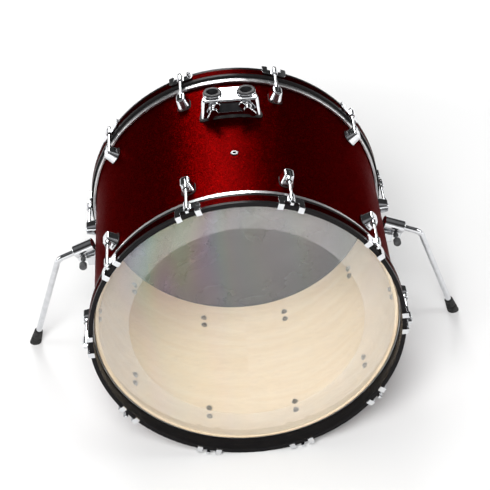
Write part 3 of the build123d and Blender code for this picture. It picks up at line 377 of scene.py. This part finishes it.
MATERIALS = {                                # by the record's material slot
    "shell_wood": plywood("shell_wood_look"),
    "wrap_red_sparkle": sparkle("wrap_red_sparkle_look", darkening_and_painted_shade=0.38),
    # Painted shade: the inlay is the same glitter as the wrap, darkened further than it.
    "inlay_red_sparkle": sparkle("inlay_red_sparkle_look", darkening_and_painted_shade=0.70),
    "hoop_black": lacquer("hoop_black_look"),
    "film_clear": clear_film("film_clear_look"),
    "film_damping": damping_film("film_damping_look"),
    "film_black": black_film("film_black_look"),
    "flesh_aluminium": metal("flesh_aluminium_look", light=grey(0.80),
                             dark=rgb(0.62, 0.62, 0.63), smooth=0.22, rough=0.42,
                             edge=0.3 * MM, specks=700.0, brushed=True),
    "chrome": metal("chrome_look", light=rgb(0.74, 0.75, 0.77), dark=rgb(0.62, 0.63, 0.65),
                    smooth=0.05, rough=0.13, edge=0.35 * MM, specks=900.0),
    "zinc_steel": metal("zinc_steel_look", light=rgb(0.50, 0.50, 0.47),
                        dark=rgb(0.34, 0.34, 0.32), smooth=0.26, rough=0.46,
                        edge=0.25 * MM, specks=500.0),
    "black_rubber": moulded("black_rubber_look", light=rgb(0.036, 0.035, 0.034),
                            dark=grey(0.012), rough=0.66, grain=0.5 * MM, depth=0.05 * MM),
    "black_nylon": moulded("black_nylon_look", light=rgb(0.020, 0.020, 0.021),
                           dark=rgb(0.009, 0.009, 0.010), rough=0.44, grain=0.35 * MM,
                           depth=0.03 * MM),
    "knob_grey": moulded("knob_grey_look", light=rgb(0.085, 0.087, 0.090),
                         dark=rgb(0.045, 0.046, 0.048), rough=0.42, grain=0.4 * MM,
                         depth=0.04 * MM),
}
VENT_LOOK = metal("vent_satin_look", light=rgb(0.24, 0.24, 0.245),
                  dark=rgb(0.18, 0.18, 0.185), smooth=0.34, rough=0.46, edge=0.35 * MM,
                  specks=900.0)


# ---------------------------------------------------------------- mesh helpers
def turned(name, profile, closed, sharp, slot, body, node):
    """A profile of (radius, y) points turned round the drum's axis, in place of a CAD node.

    Points on the axis become one. Edges sharper than sharp degrees stay crisp."""
    made = bmesh.new()
    on_axis = {}
    rings = []
    for s in range(SEGMENTS):
        turn = s * math.tau / SEGMENTS
        ring = []
        for j, (radius, y) in enumerate(profile):
            if radius > 0.0:
                ring.append(made.verts.new((radius * math.sin(turn), y,
                                            AXIS_HEIGHT + radius * math.cos(turn))))
            else:
                if j not in on_axis:
                    on_axis[j] = made.verts.new((0.0, y, AXIS_HEIGHT))
                ring.append(on_axis[j])
        rings.append(ring)
    sides = len(profile) if closed else len(profile) - 1
    for ring, after in zip(rings, rings[1:] + rings[:1]):
        for j in range(sides):
            k = (j + 1) % len(profile)
            corners = (ring[j], ring[k], after[k], after[j])
            made.faces.new(list(dict.fromkeys(corners)))
    bmesh.ops.recalc_face_normals(made, faces=made.faces)
    mesh = bpy.data.meshes.new(name)
    made.to_mesh(mesh)
    made.free()
    mesh.shade_smooth()
    mesh.set_sharp_from_angle(angle=math.radians(sharp))
    mesh.materials.append(MATERIALS[slot])
    piece = bpy.data.objects.new(name, mesh)
    bpy.context.scene.collection.objects.link(piece)
    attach(piece, body)
    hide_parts(node)


def film_wall(radius, face, shoulder):
    """One face of a film, from its middle out to the end of its rounded shoulder."""
    flat = [(radius * k / FACE_STEPS, face) for k in range(FACE_STEPS)]
    quarter = [k * math.pi / 2 / SHOULDER_STEPS for k in range(SHOULDER_STEPS + 1)]
    corner = [(radius - shoulder + shoulder * math.sin(a),
               face - shoulder + shoulder * math.cos(a)) for a in quarter]
    return flat + corner


def film_profile(side):
    """Cup of film: flat face, rounded shoulder, collar; a thin wall with two faces."""
    outside = film_wall(FILM_RADIUS, FILM_FACE, FILM_ROUND)
    inside = film_wall(FILM_RADIUS - FILM_THICKNESS, FILM_FACE - FILM_THICKNESS,
                       FILM_ROUND - FILM_THICKNESS)
    foot = FILM_FACE - FILM_COLLAR
    collar_end = [(FILM_RADIUS, foot), (FILM_RADIUS - FILM_THICKNESS, foot)]
    return [(radius, side * y) for radius, y in outside + collar_end + inside[::-1]]


# ---------------------------------------------------------------- CAD nodes: better materials
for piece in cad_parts.values():
    for material_slot in piece.material_slots:
        material_slot.material = MATERIALS[material_slot.material.name.split(".")[0]]
for material_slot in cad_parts["vent_grommet"].material_slots:
    material_slot.material = VENT_LOOK

# ---------------------------------------------------------------- pieces made here
turned("batter_head_film", film_profile(-1), closed=False, sharp=60.0, slot="film_clear",
       body="batter_head", node="batter_film")
turned("front_head_film", film_profile(1), closed=False, sharp=60.0, slot="film_black",
       body="front_head", node="front_film")
ring_face = ring_low.y + RING_GAP
ring_profile = [(RING_INNER, ring_face), (RING_OUTER, ring_face),
                (RING_OUTER, ring_high.y), (RING_INNER, ring_high.y)]
turned("batter_head_damping_ring", ring_profile, closed=True, sharp=32.0, slot="film_damping",
       body="batter_head", node="batter_damping_ring")

# ---------------------------------------------------------------- floor
FLOOR_HALF = 60.0                            # half its side: it ends beyond every view

floor_mesh = bpy.data.meshes.new("studio_floor")
floor_corners = [(x * FLOOR_HALF, y * FLOOR_HALF, 0)
                 for x, y in ((-1, -1), (1, -1), (1, 1), (-1, 1))]
floor_mesh.from_pydata(floor_corners, [], [(0, 1, 2, 3)])
floor_mesh.materials.append(studio_floor_look())
studio_floor = bpy.data.objects.new("studio_floor", floor_mesh)
bpy.context.scene.collection.objects.link(studio_floor)

# ---------------------------------------------------------------- light
MIDDLE = Vector((0.0, 0.0, 0.3))             # where every softbox points
SOFTBOXES = {                                # place, width and height, power in watts
    "key": ((-0.7, -3.6, 3.6), (2.4, 2.0), 400.0),
    "overhead": ((0.2, 0.4, 4.2), (3.0, 3.0), 30.0),
    "behind": ((-0.38, 3.4, 2.9), (1.3, 1.3), 76.0),
    "left": ((-3.6, 0.3, 1.6), (1.2, 2.0), 30.0),
    "right": ((3.6, -0.4, 1.8), (1.2, 2.0), 40.0),
}
HIDDEN_IN_GLOSS = "key"                      # it fills without showing in the chrome

for name, (place, size, power) in SOFTBOXES.items():
    lamp = bpy.data.lights.new(name, "AREA")
    lamp.shape = "RECTANGLE"
    lamp.size, lamp.size_y = size
    lamp.energy = power
    holder = bpy.data.objects.new(name, lamp)
    holder.location = place
    holder.rotation_mode = "QUATERNION"
    holder.rotation_quaternion = (MIDDLE - Vector(place)).to_track_quat("-Z", "Y")
    holder.visible_glossy = name != HIDDEN_IN_GLOSS
    bpy.context.scene.collection.objects.link(holder)

SKY_TONES = (                                # from the horizon, 0, to straight up, 1
    (0.16, grey(0.55)),
    (0.36, grey(0.03)),
    (0.60, grey(0.035)),
    (1.0, rgb(0.38, 0.38, 0.39)),
)

world = bpy.data.worlds.new("studio")
bpy.context.scene.world = world
world.use_nodes = True
sky = world.node_tree
sky.nodes.clear()
sky_at = sky.nodes.new("ShaderNodeTexCoord")
sky_split = sky.nodes.new("ShaderNodeSeparateXYZ")
sky_ramp = sky.nodes.new("ShaderNodeValToRGB")
sky_back = sky.nodes.new("ShaderNodeBackground")
sky_out = sky.nodes.new("ShaderNodeOutputWorld")
sky.links.new(sky_at.outputs["Generated"], sky_split.inputs[0])
sky.links.new(sky_split.outputs[2], sky_ramp.inputs[0])
sky.links.new(sky_ramp.outputs[0], sky_back.inputs[0])
sky.links.new(sky_back.outputs[0], sky_out.inputs[0])
stops = sky_ramp.color_ramp.elements
stops[0].position, stops[0].color = SKY_TONES[0]
stops[1].position, stops[1].color = SKY_TONES[-1]
for height, tone in SKY_TONES[1:-1]:
    stops.new(height).color = tone

# ---------------------------------------------------------------- camera
CAMERA_PLACE = Vector((-0.0377, -2.7095, 2.2907))
CAMERA_AIM = Vector((0.0090, 0.0, 0.3225))
CAMERA_ROLL = math.radians(-3.777)
CAMERA_LENS = 128.6                          # focal length, and the sensor's width, in mm
CAMERA_SENSOR = 36.0

camera = bpy.data.cameras.new("camera")
camera.lens = CAMERA_LENS
camera.sensor_width = CAMERA_SENSOR
camera_holder = bpy.data.objects.new("camera", camera)
camera_holder.location = CAMERA_PLACE
camera_holder.rotation_mode = "QUATERNION"
camera_holder.rotation_quaternion = ((CAMERA_AIM - CAMERA_PLACE).to_track_quat("-Z", "Y")
                                     @ Quaternion((0, 0, 1), CAMERA_ROLL))
bpy.context.scene.collection.objects.link(camera_holder)
bpy.context.scene.camera = camera_holder

view = bpy.context.scene.view_settings
view.view_transform = "Standard"
view.look = "None"
